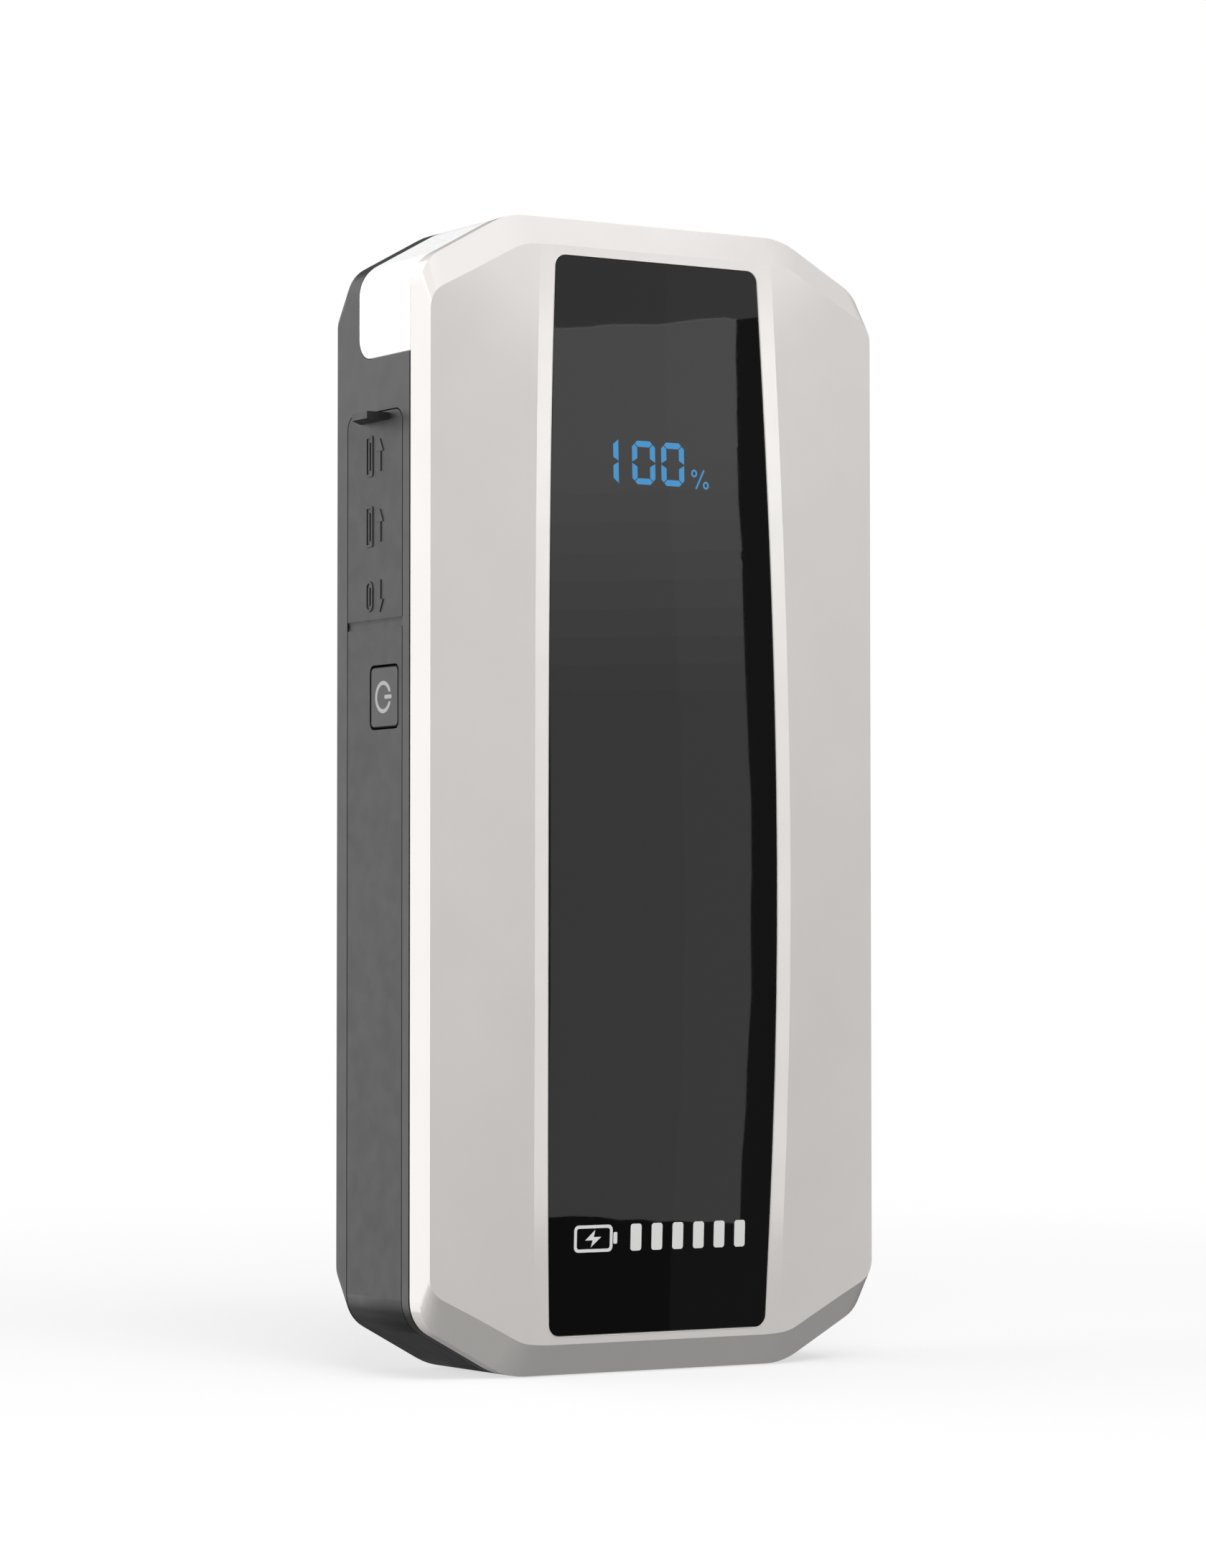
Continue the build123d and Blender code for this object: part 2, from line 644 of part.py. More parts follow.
for number, z in enumerate(USB_A_Z, start=1):
    back_x = PORT_FACE_X + USB_A_DEEP
    foot_y = PORT_Y - USB_A_WIDE / 2
    with BuildPart() as usb_a_shell:
        with BuildSketch(at_x(back_x)):
            with Locations((-PORT_Y, z)):
                Rectangle(USB_A_WIDE, USB_A_HIGH)
        extrude(amount=USB_A_DEEP)
        with BuildSketch(at_x(back_x - USB_A_SHEET)):
            with Locations((-PORT_Y, z)):
                Rectangle(USB_A_WIDE - 2 * USB_A_SHEET, USB_A_HIGH - 2 * USB_A_SHEET)
        extrude(amount=USB_A_DEEP, mode=Mode.SUBTRACT)
        for from_back in USB_A_LEGS:
            for side in (-1, 1):
                leg_z = z + side * (USB_A_HIGH - LEG_SIZE[1]) / 2
                with Locations((back_x - from_back, (BOARD_Y1 + foot_y) / 2, leg_z)):
                    Box(LEG_SIZE[0], foot_y - BOARD_Y1, LEG_SIZE[1])
    finish(usb_a_shell.part, f"usb_a_shell_{number}")

    with BuildPart() as usb_a_tongue:
        with BuildSketch(at_x(back_x - USB_A_SHEET)):
            with Locations((-PORT_Y, z + USB_A_TONGUE_SHIFT)):
                Rectangle(USB_A_TONGUE[0], USB_A_TONGUE[1])
        extrude(amount=USB_A_DEEP - USB_A_SHEET - USB_TONGUE_RECESS)
    finish(usb_a_tongue.part, f"usb_a_tongue_{number}")

back_x = PORT_FACE_X + USB_C_DEEP
foot_y = PORT_Y - USB_C_WIDE / 2 + USB_C_SHEET / 2
with BuildPart() as usb_c_shell:
    with BuildSketch(at_x(back_x)):
        with Locations((-PORT_Y, USB_C_Z)):
            SlotOverall(USB_C_WIDE, USB_C_HIGH)
    extrude(amount=USB_C_DEEP)
    with BuildSketch(at_x(back_x - USB_C_SHEET)):
        with Locations((-PORT_Y, USB_C_Z)):
            SlotOverall(USB_C_WIDE - 2 * USB_C_SHEET, USB_C_HIGH - 2 * USB_C_SHEET)
    extrude(amount=USB_C_DEEP, mode=Mode.SUBTRACT)
    with Locations(*[(back_x - from_back, (BOARD_Y1 + foot_y) / 2, USB_C_Z) for from_back in USB_C_LEGS]):
        Box(LEG_SIZE[1], foot_y - BOARD_Y1, LEG_SIZE[0])
finish(usb_c_shell.part, "usb_c_shell")

with BuildPart() as usb_c_tongue:
    with BuildSketch(at_x(back_x - USB_C_SHEET)):
        with Locations((-PORT_Y, USB_C_Z)):
            RectangleRounded(*USB_C_TONGUE, USB_C_TONGUE[1] / 3)
    extrude(amount=USB_C_DEEP - USB_C_SHEET - USB_TONGUE_RECESS)
finish(usb_c_tongue.part, "usb_c_tongue")

# ---- power button and its switch ----
SWITCH_Y = BOARD_Y1 + SWITCH_SIZE[1] / 2
cap_size = (BUTTON_HOLE[0] - 2 * BUTTON_GAP, BUTTON_HOLE[1] - 2 * BUTTON_GAP)
flange_x = WALL_IN_X + LIP_FIT
stem_end_x = SWITCH_X - PLUNGER_OUT

with BuildPart() as button_symbol:
    with BuildSketch(at_x(-HALF_WIDTH + SYMBOL_DEPTH)):
        with Locations((-SYMBOL_Y, BUTTON_Z)):
            Circle(SYMBOL_R + SYMBOL_STROKE / 2)
            Circle(SYMBOL_R - SYMBOL_STROKE / 2, mode=Mode.SUBTRACT)
        with Locations((-SYMBOL_Y + SYMBOL_R, BUTTON_Z)):
            Rectangle(SYMBOL_R, SYMBOL_GAP, mode=Mode.SUBTRACT)
        with Locations((-SYMBOL_Y + SYMBOL_BAR_SHIFT, BUTTON_Z)):
            SlotOverall(SYMBOL_BAR, SYMBOL_STROKE)
    extrude(amount=SYMBOL_DEPTH)
finish(button_symbol.part, "button_symbol")

with BuildPart() as power_button:
    with BuildSketch(at_x(flange_x)):
        with Locations((-BUTTON_Y, BUTTON_Z)):
            RectangleRounded(*cap_size, BUTTON_HOLE_R - BUTTON_GAP)
    extrude(amount=flange_x + HALF_WIDTH)
    chamfer(power_button.faces().sort_by(Axis.X)[0].edges(), length=BUTTON_EDGE)
    with BuildSketch(at_x(flange_x + FLANGE_THICK)):
        with Locations((-BUTTON_Y, BUTTON_Z)):
            RectangleRounded(
                BUTTON_HOLE[0] + 2 * FLANGE_OVER, BUTTON_HOLE[1] + 2 * FLANGE_OVER, BUTTON_HOLE_R
            )
    extrude(amount=FLANGE_THICK)
    with BuildSketch(at_x(stem_end_x)):
        with Locations((-SWITCH_Y, BUTTON_Z)):
            Circle(PLUNGER_R)
    extrude(amount=stem_end_x - flange_x)
    add(button_symbol.part, mode=Mode.SUBTRACT)
finish(power_button.part, "power_button")

with BuildPart() as switch_plunger:
    with BuildSketch(at_x(SWITCH_X + PLUNGER_IN)):
        with Locations((-SWITCH_Y, BUTTON_Z)):
            Circle(PLUNGER_R)
    extrude(amount=PLUNGER_IN + PLUNGER_OUT)
finish(switch_plunger.part, "switch_plunger")

with BuildPart() as tact_switch:
    with Locations((SWITCH_X + SWITCH_SIZE[0] / 2, SWITCH_Y, BUTTON_Z)):
        Box(*SWITCH_SIZE)
    with BuildSketch(at_x(SWITCH_X + PLUNGER_IN + BUTTON_TRAVEL + LIP_FIT)):
        with Locations((-SWITCH_Y, BUTTON_Z)):
            Circle(PLUNGER_R + SCREW_FIT)
    extrude(amount=FAR, mode=Mode.SUBTRACT)
finish(tact_switch.part, "tact_switch")

# ---- main board and what it carries ----
with BuildPart() as main_board:
    with BuildSketch(at_y(BOARD_Y1)):
        with Locations(((BOARD_X0 + BOARD_X1) / 2, (BOARD_Z0 + BOARD_Z1) / 2)):
            RectangleRounded(BOARD_X1 - BOARD_X0, BOARD_Z1 - BOARD_Z0, BOARD_CORNER_R)
        with Locations(*BOARD_SCREWS):
            Circle(BOARD_HOLE_R, mode=Mode.SUBTRACT)
    extrude(amount=BOARD_THICK)
finish(main_board.part, "main_board")

with BuildPart() as display_module:
    with Locations((DISPLAY_X, BOARD_Y0 - DISPLAY_SIZE[1] / 2, DISPLAY_Z)):
        Box(*DISPLAY_SIZE)
finish(display_module.part, "display_module")

for name, height, places in (
    ("board_chips", CHIP_HEIGHT, CHIPS),
    ("board_inductors", INDUCTOR_HEIGHT, INDUCTORS),
):
    with BuildPart() as parts_on_board:
        for x, z, wide, long in places:
            with Locations((x, BOARD_Y1 + height / 2, z)):
                Box(wide, height, long)
    finish(parts_on_board.part, name)

with BuildPart() as board_capacitors:
    with BuildSketch(at_y(BOARD_Y1 + CAPACITOR_SIZE[1])):
        with Locations(*CAPACITORS):
            Circle(CAPACITOR_SIZE[0])
    extrude(amount=CAPACITOR_SIZE[1])
finish(board_capacitors.part, "board_capacitors")

# ---- lamp ----
LENS_IN = REAR_WALL + LENS_FLANGE
lens_skin = ring(0, LENS_THICK, REAR_RIM_Y, LENS_REAR_Y) & lamp_zone(0)
lens_lip = ring(LIP_OUT, LIP_IN, LIP_Y, REAR_RIM_Y) & lamp_zone(0)
lens_plug = ring(LENS_THICK - LIP_FIT, LENS_IN, REAR_RIM_Y, LENS_REAR_Y) & lamp_zone(-LENS_FIT)
lens_flange = ring(REAR_WALL + LIP_FIT, LENS_IN, REAR_RIM_Y, FAR) & lamp_zone(LENS_FLANGE_REACH)
with BuildPart() as lamp_lens:
    add([lens_skin, lens_lip, lens_plug, lens_flange])
finish(lamp_lens.part, "lamp_lens")

lamp_top = block(-FAR, FAR, -FAR, FAR, LAMP_Z, HEIGHT)
carrier_arch = ring(CARRIER_INSET, CARRIER_INSET + CARRIER_THICK, LAMP_Y0, CARRIER_Y1) & lamp_top
flex_arch = ring(CARRIER_INSET - FLEX_THICK, CARRIER_INSET, LAMP_Y0, LAMP_Y1) & lamp_top
with BuildPart() as lamp_carrier:
    add(carrier_arch)
finish(lamp_carrier.part, "lamp_carrier")

with BuildPart() as lamp_flex:
    add(flex_arch)
finish(lamp_flex.part, "lamp_flex")

led_face = CARRIER_INSET - FLEX_THICK
led_y = (LAMP_Y0 + LAMP_Y1) / 2
chamfer_mid_x = HALF_WIDTH - CHAMFER_X / 2
chamfer_mid_z = HEIGHT - CHAMFER_Z / 2
with BuildPart() as lamp_leds:
    for index in range(LED_TOP_COUNT):
        x = (index - (LED_TOP_COUNT - 1) / 2) * LED_PITCH
        with Locations((x, led_y, HEIGHT - led_face + LED_SIZE[2] / 2)):
            Box(*LED_SIZE)
    for side in (-1, 1):
        tilt = side * CHAMFER_ANGLE
        normal = (sin(tilt), cos(tilt))
        for step in (-0.5, 0.5):
            depth = led_face - LED_SIZE[2] / 2
            along = step * LED_CHAMFER_PITCH
            x = side * chamfer_mid_x - depth * normal[0] + along * cos(tilt)
            z = chamfer_mid_z - depth * normal[1] - along * sin(tilt)
            with Locations(Location((x, led_y, z), (0, degrees(tilt), 0))):
                Box(*LED_SIZE)
        with Locations(
            Location((side * (HALF_WIDTH - led_face + LED_SIZE[2] / 2), led_y, LED_SIDE_Z), (0, side * 90, 0))
        ):
            Box(*LED_SIZE)
finish(lamp_leds.part, "lamp_leds")

# ---- battery ----
CELL_TOP_Z = CELL_Z0 + CELL_SIZE[2]
for index in range(CELL_COUNT):
    with BuildPart() as battery_cell:
        y = CELL_Y0 + index * CELL_PITCH + CELL_SIZE[1] / 2
        with Locations((0, y, CELL_Z0 + CELL_SIZE[2] / 2)):
            Box(*CELL_SIZE)
        fillet(battery_cell.edges().filter_by(Axis.Z), radius=CELL_EDGE_R)
    finish(battery_cell.part, f"battery_cell_{index + 1}")

with BuildPart() as cell_foam:
    for index in range(CELL_COUNT - 1):
        y0 = CELL_Y0 + index * CELL_PITCH + CELL_SIZE[1]
        gap = CELL_PITCH - CELL_SIZE[1]
        with Locations((0, y0 + gap / 2, CELL_Z0 + CELL_SIZE[2] / 2)):
            Box(CELL_SIZE[0] - 2 * CELL_INSET, gap, CELL_SIZE[2] - 2 * CELL_INSET)
finish(cell_foam.part, "cell_foam")

with BuildPart() as battery_frame:
    with BuildSketch(at_y(FRAME_Y1)):
        with Locations((0, (CELL_Z0 + CELL_TOP_Z - FRAME_WALL) / 2)):
            Rectangle(CELL_SIZE[0] + 2 * FRAME_WALL, CELL_SIZE[2] + FRAME_WALL)
        with Locations((0, CELL_Z0 + CELL_SIZE[2] / 2)):
            Rectangle(CELL_SIZE[0], CELL_SIZE[2], mode=Mode.SUBTRACT)
    extrude(amount=FRAME_Y1 - FRAME_Y0)
finish(battery_frame.part, "battery_frame")

with BuildPart() as cell_tabs:
    for index in range(CELL_COUNT):
        y = CELL_Y0 + index * CELL_PITCH + CELL_SIZE[1] / 2
        with Locations(*[(x, y, CELL_TOP_Z + TAB_SIZE[2] / 2) for x in (-TAB_X, TAB_X)]):
            Box(*TAB_SIZE)
finish(cell_tabs.part, "cell_tabs")

PROTECTION_Z = CELL_TOP_Z + TAB_SIZE[2]
with BuildPart() as protection_board:
    with Locations((0, (FRAME_Y0 + FRAME_Y1) / 2, PROTECTION_Z + PROTECTION_THICK / 2)):
        Box(2 * PROTECTION_HALF, FRAME_Y1 - FRAME_Y0, PROTECTION_THICK)
finish(protection_board.part, "protection_board")

with BuildPart() as battery_leads:
    with BuildSketch(Plane.XY.offset(PROTECTION_Z + PROTECTION_THICK)):
        with Locations(*[(x, BOARD_Y1 + LEAD_R) for x in (-LEAD_X, LEAD_X)]):
            Circle(LEAD_R)
    extrude(amount=LEAD_TOP_Z - PROTECTION_Z - PROTECTION_THICK)
finish(battery_leads.part, "battery_leads")

# ---- screws ----
for name, places, seat_y, length in (
    ("shell_screws", SHELL_SCREWS, SCREW_SEAT_Y, SCREW_LENGTH),
    ("board_screws", BOARD_SCREWS, BOARD_Y0, BOARD_SCREW_LENGTH),
):
    with BuildPart() as screws:
        with BuildSketch(at_y(seat_y + length)):
            with Locations(*places):
                Circle(SCREW_R)
        extrude(amount=length)
        with BuildSketch(at_y(seat_y)):
            with Locations(*places):
                Circle(SCREW_HEAD_R)
        extrude(amount=SCREW_HEAD)
        with BuildSketch(at_y(seat_y - SCREW_HEAD + SOCKET_DEEP)):
            with Locations(*places):
                RegularPolygon(SOCKET_R, 6)
        extrude(amount=FAR, mode=Mode.SUBTRACT)
    finish(screws.part, name)
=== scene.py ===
import json
import math

import bmesh
import bpy
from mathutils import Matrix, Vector
from mathutils.bvhtree import BVHTree


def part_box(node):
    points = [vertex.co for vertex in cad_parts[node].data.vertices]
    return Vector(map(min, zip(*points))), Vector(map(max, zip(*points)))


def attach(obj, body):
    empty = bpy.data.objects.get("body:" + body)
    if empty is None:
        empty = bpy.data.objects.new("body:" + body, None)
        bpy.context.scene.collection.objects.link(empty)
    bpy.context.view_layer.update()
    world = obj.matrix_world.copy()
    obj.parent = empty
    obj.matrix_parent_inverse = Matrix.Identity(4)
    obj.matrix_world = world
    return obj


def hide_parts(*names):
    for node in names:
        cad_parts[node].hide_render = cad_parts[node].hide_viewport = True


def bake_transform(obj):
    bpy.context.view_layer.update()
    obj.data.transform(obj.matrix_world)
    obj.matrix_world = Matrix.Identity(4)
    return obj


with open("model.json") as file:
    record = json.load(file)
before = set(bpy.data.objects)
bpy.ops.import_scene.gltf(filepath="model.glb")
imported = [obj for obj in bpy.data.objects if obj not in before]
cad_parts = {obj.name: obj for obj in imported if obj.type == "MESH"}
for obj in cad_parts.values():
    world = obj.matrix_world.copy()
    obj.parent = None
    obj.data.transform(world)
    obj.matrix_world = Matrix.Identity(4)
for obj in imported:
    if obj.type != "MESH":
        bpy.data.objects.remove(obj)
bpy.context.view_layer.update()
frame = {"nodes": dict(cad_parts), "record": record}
nodes = frame["nodes"]


# ---------------------------------------------------------------- camera
def make_camera():
    """Camera low at the front left, as in a product picture taken with a long lens."""
    data = bpy.data.cameras.new("camera")
    data.lens = 108.77
    data.sensor_width = 36.0
    data.clip_start = 0.01
    data.clip_end = 50.0
    camera = bpy.data.objects.new("camera", data)
    camera.location = (-0.39881, -0.64114, 0.06496)
    yaw, pitch, roll = 31.834, 2.068, 0.019
    camera.rotation_euler = (math.radians(90 + pitch), math.radians(roll), math.radians(-yaw))
    bpy.context.scene.collection.objects.link(camera)
    bpy.context.scene.camera = camera


# ---------------------------------------------------------------- studio
SOFTBOXES = (
    # name, centre, target, width, height, luminance
    ("strip_front", (0.23865, -0.39695, 0.057), (0.0, -0.0170, 0.057), 0.0505, 0.176, 2.09),
    ("strip_above", (0.2393, -0.3965, 0.3198), (0.0, -0.0170, 0.3198), 0.140, 0.150, 1.60),
    ("front_top", (-0.22, -1.0, 1.05), (0.0, 0.0, 0.09), 1.0, 0.8, 5.9),
    ("overhead", (0.15, -0.10, 1.25), (0.0, 0.0, 0.09), 1.3, 1.0, 0.75),
    ("fill_right", (1.05, -0.85, 0.10), (0.0, 0.0, 0.09), 0.9, 1.0, 0.15),
    ("fill_left", (-1.15, -0.62, -0.05), (0.0, 0.0, 0.09), 1.0, 1.0, 0.75),
    ("key_left", (-1.2, 0.35, 0.25), (0.0, 0.0, 0.09), 0.9, 1.2, 3.2),
    ("rear_left", (-0.50, 0.90, 0.25), (0.0, 0.0, 0.09), 1.0, 1.2, 1.45),
)
SURROUND = 0.182
STRIP_TOP = 0.245
GLOW_SLICES = 12
GLOW = 1.5
FLOOR_RADIUS = 3.0


def strip_glow():
    """Slices that carry the front strip on upwards, each a little brighter than the one below."""
    _, centre, target, wide, high, luminance = SOFTBOXES[0]
    start = centre[2] + high / 2
    slice_high = (STRIP_TOP - start) / GLOW_SLICES
    boxes = []
    for i in range(GLOW_SLICES):
        part = (i + 0.5) / GLOW_SLICES
        level = start + slice_high * (i + 0.5)
        bright = luminance + GLOW * min(1.0, 1.5 * part)
        place, aim = (*centre[:2], level), (*target[:2], level)
        boxes.append((f"strip_glow_{i}", place, aim, wide, slice_high, bright))
    return boxes


def make_studio():
    """Soft boxes, an even surrounding and a pale floor. Only the camera sees the floor."""
    scene = bpy.context.scene
    for name, centre, target, wide, high, luminance in (*SOFTBOXES, *strip_glow()):
        data = bpy.data.lights.new(name, "AREA")
        data.shape = "RECTANGLE"
        data.size, data.size_y = wide, high
        data.energy = luminance * math.pi * wide * high
        light = bpy.data.objects.new(name, data)
        light.location = centre
        away = Vector(centre) - Vector(target)
        light.rotation_euler = away.to_track_quat("Z", "Y").to_euler()
        light.visible_camera = False
        scene.collection.objects.link(light)

    world = bpy.data.worlds.new("surround")
    scene.world = world
    world.use_nodes = True
    tree = world.node_tree
    tree.nodes.clear()
    seen = tree.nodes.new("ShaderNodeBackground")
    seen.inputs["Color"].default_value = (1, 1, 1, 1)
    seen.inputs["Strength"].default_value = 1.0
    lit = tree.nodes.new("ShaderNodeBackground")
    lit.inputs["Color"].default_value = (1, 1, 1, 1)
    lit.inputs["Strength"].default_value = SURROUND
    path = tree.nodes.new("ShaderNodeLightPath")
    mix = tree.nodes.new("ShaderNodeMixShader")
    out = tree.nodes.new("ShaderNodeOutputWorld")
    tree.links.new(path.outputs["Is Camera Ray"], mix.inputs["Fac"])
    tree.links.new(lit.outputs[0], mix.inputs[1])
    tree.links.new(seen.outputs[0], mix.inputs[2])
    tree.links.new(mix.outputs[0], out.inputs["Surface"])

    mesh = bpy.data.meshes.new("floor")
    form = bmesh.new()
    bmesh.ops.create_circle(form, cap_ends=True, segments=96, radius=FLOOR_RADIUS)
    form.to_mesh(mesh)
    form.free()
    floor = bpy.data.objects.new("floor", mesh)
    floor.location = (0, 0, -0.0002)
    floor.visible_diffuse = False
    floor.visible_glossy = False
    floor.visible_transmission = False
    floor.visible_shadow = False
    scene.collection.objects.link(floor)
    mesh.materials.append(floor_paper())
    scene.view_settings.view_transform = "Standard"
    scene.view_settings.look = "None"


def floor_paper():
    """Pale paper near the object that runs out into white, like a seamless sweep."""
    paper = bpy.data.materials.new("studio_floor")
    paper.use_nodes = True
    tree = paper.node_tree
    shader = tree.nodes["Principled BSDF"]
    shader.inputs["Base Color"].default_value = (0.95, 0.95, 0.95, 1)
    shader.inputs["Roughness"].default_value = 0.9
    glow = tree.nodes.new("ShaderNodeEmission")
    glow.inputs["Color"].default_value = (1, 1, 1, 1)
    glow.inputs["Strength"].default_value = 1.0
    place = tree.nodes.new("ShaderNodeTexCoord")
    length = tree.nodes.new("ShaderNodeVectorMath")
    length.operation = "LENGTH"
    fade = tree.nodes.new("ShaderNodeMapRange")
    fade.interpolation_type = "SMOOTHSTEP"
    fade.inputs["From Min"].default_value = 0.05
    fade.inputs["From Max"].default_value = 0.55
    fade.inputs["To Min"].default_value = 0.65
    mix = tree.nodes.new("ShaderNodeMixShader")
    tree.links.new(place.outputs["Object"], length.inputs[0])
    tree.links.new(length.outputs["Value"], fade.inputs["Value"])
    tree.links.new(fade.outputs["Result"], mix.inputs["Fac"])
    tree.links.new(shader.outputs["BSDF"], mix.inputs[1])
    tree.links.new(glow.outputs["Emission"], mix.inputs[2])
    tree.links.new(mix.outputs["Shader"], tree.nodes["Material Output"].inputs["Surface"])
    return paper


# ---------------------------------------------------------------- materials
class Shader:
    """A node material under construction: base colour, roughness and bump from layered noises."""

    def __init__(self, name):
        self.material = bpy.data.materials.new(name)
        self.material.use_nodes = True
        self.tree = self.material.node_tree
        self.bsdf = self.tree.nodes["Principled BSDF"]
        coordinates = self.tree.nodes.new("ShaderNodeTexCoord")
        self.place = coordinates.outputs["Object"]
        self.bump = None

    def set(self, **values):
        for key, value in values.items():
            self.bsdf.inputs[key.replace("_", " ")].default_value = value
        return self

    def noise(self, size, detail=2.0, distortion=0.0, stretch=(1, 1, 1)):
        """Noise with features of about that size in metres."""
        mapping = self.tree.nodes.new("ShaderNodeMapping")
        mapping.inputs["Scale"].default_value = stretch
        texture = self.tree.nodes.new("ShaderNodeTexNoise")
        texture.inputs["Scale"].default_value = 1.0 / size
        texture.inputs["Detail"].default_value = detail
        texture.inputs["Distortion"].default_value = distortion
        self.tree.links.new(self.place, mapping.inputs["Vector"])
        self.tree.links.new(mapping.outputs["Vector"], texture.inputs["Vector"])
        return texture.outputs["Fac"]

    def spread(self, factor, low, high, start=0.3, end=0.7):
        """Numbers from low to high, as the factor goes from start to end."""
        node = self.tree.nodes.new("ShaderNodeMapRange")
        node.inputs["From Min"].default_value = start
        node.inputs["From Max"].default_value = end
        node.inputs["To Min"].default_value = low
        node.inputs["To Max"].default_value = high
        self.tree.links.new(factor, node.inputs["Value"])
        return node.outputs["Result"]

    def colours(self, factor, first, second, start=0.3, end=0.7):
        ramp = self.tree.nodes.new("ShaderNodeValToRGB")
        ramp.color_ramp.elements[0].position = start
        ramp.color_ramp.elements[0].color = (*first, 1)
        ramp.color_ramp.elements[1].position = end
        ramp.color_ramp.elements[1].color = (*second, 1)
        self.tree.links.new(factor, ramp.inputs["Fac"])
        self.tree.links.new(ramp.outputs["Color"], self.bsdf.inputs["Base Color"])
        return self

    def rough(self, factor, low, high, start=0.3, end=0.7):
        self.tree.links.new(self.spread(factor, low, high, start, end), self.bsdf.inputs["Roughness"])
        return self

    def relief(self, factor, height, strength=1.0):
        """Adds a bump of that height in metres over the ones before."""
        node = self.tree.nodes.new("ShaderNodeBump")
        node.inputs["Distance"].default_value = height
        node.inputs["Strength"].default_value = strength
        self.tree.links.new(factor, node.inputs["Height"])
        if self.bump:
            self.tree.links.new(self.bump, node.inputs["Normal"])
        self.bump = node.outputs["Normal"]
        self.tree.links.new(self.bump, self.bsdf.inputs["Normal"])
        return self


def shade(colour, factor):
    """The colour made lighter or darker."""
    return tuple(min(1.0, c * factor) for c in colour)


def moulded(name, colour, low, high, grain=0.00035, height=0.000006, flow=0.000008, **extra):
    """Moulded plastic: fine spark-eroded grain, faint flow marks and slightly uneven gloss."""
    made = Shader(name)
    made.colours(made.noise(0.012, 3), shade(colour, 0.985), shade(colour, 1.015))
    made.rough(made.noise(0.004, 4), low, high)
    made.relief(made.noise(grain, 2), height, 0.6)
    made.relief(made.noise(0.02, 1), flow, 0.25)
    return made.set(**extra).material


def glossy(name, colour, low, high, **extra):
    """Polished plastic: nearly no grain, a trace of orange peel and dust-fine specks of dullness."""
    made = Shader(name)
    made.colours(made.noise(0.02, 3), shade(colour, 0.94), shade(colour, 1.06))
    made.rough(made.noise(0.0009, 5), low, high, 0.35, 0.75)
    made.relief(made.noise(0.006, 1), 0.000001, 0.2)
    return made.set(**extra).material


def metal(name, colour, low, high, stretch=(1, 18, 1), **extra):
    """Rolled sheet: streaks along one direction."""
    made = Shader(name)
    streaks = made.noise(0.0008, 4, stretch=stretch)
    made.colours(streaks, shade(colour, 0.9), shade(colour, 1.08))
    made.rough(streaks, low, high)
    made.relief(streaks, 0.000003, 0.5)
    return made.set(Metallic=1.0, **extra).material


def rubber(name, colour, **extra):
    """Soft-touch rubber: fine even grain and a soft sheen."""
    made = Shader(name)
    made.colours(made.noise(0.009, 4), shade(colour, 0.96), shade(colour, 1.05))
    made.rough(made.noise(0.003, 4), 0.44, 0.52)
    made.relief(made.noise(0.00028, 2), 0.000007, 0.7)
    return made.set(**extra).material


def circuit(name):
    """Solder mask over tracks: two greens in blocky lines, with slightly raised copper."""
    made = Shader(name)
    bricks = made.tree.nodes.new("ShaderNodeTexBrick")
    bricks.inputs["Scale"].default_value = 260.0
    bricks.inputs["Mortar Size"].default_value = 0.05
    bricks.inputs["Color1"].default_value = (0.010, 0.085, 0.040, 1)
    bricks.inputs["Color2"].default_value = (0.014, 0.110, 0.050, 1)
    bricks.inputs["Mortar"].default_value = (0.022, 0.180, 0.085, 1)
    turn = made.tree.nodes.new("ShaderNodeMapping")
    turn.inputs["Rotation"].default_value = (math.radians(90), 0, 0)
    made.tree.links.new(made.place, turn.inputs["Vector"])
    made.tree.links.new(turn.outputs["Vector"], bricks.inputs["Vector"])
    made.tree.links.new(bricks.outputs["Color"], made.bsdf.inputs["Base Color"])
    made.rough(made.noise(0.002, 3), 0.22, 0.34)
    made.relief(bricks.outputs["Fac"], 0.00003, 0.6)
    return made.material


def pouch(name):
    """Laminated foil: dull metal with shallow creases."""
    made = Shader(name)
    creases = made.noise(0.010, 5, distortion=0.8)
    made.colours(creases, (0.52, 0.52, 0.54), (0.66, 0.66, 0.67))
    made.rough(creases, 0.34, 0.5)
    made.relief(creases, 0.00025, 0.6)
    return made.set(Metallic=0.9).material


def foam(name):
    made = Shader(name)
    cells = made.noise(0.0006, 3)
    made.colours(cells, (0.05, 0.05, 0.05), (0.10, 0.10, 0.10))
    made.rough(cells, 0.85, 0.98)
    made.relief(cells, 0.00012)
    return made.material


GREY = (0.74, 0.712, 0.69)
DARK = (0.012, 0.0115, 0.0125)
DIGIT_OFF = (0.001, 0.005, 0.012)
DIGIT_GLOW = (0.018, 0.235, 0.520, 1)

make_camera()
make_studio()

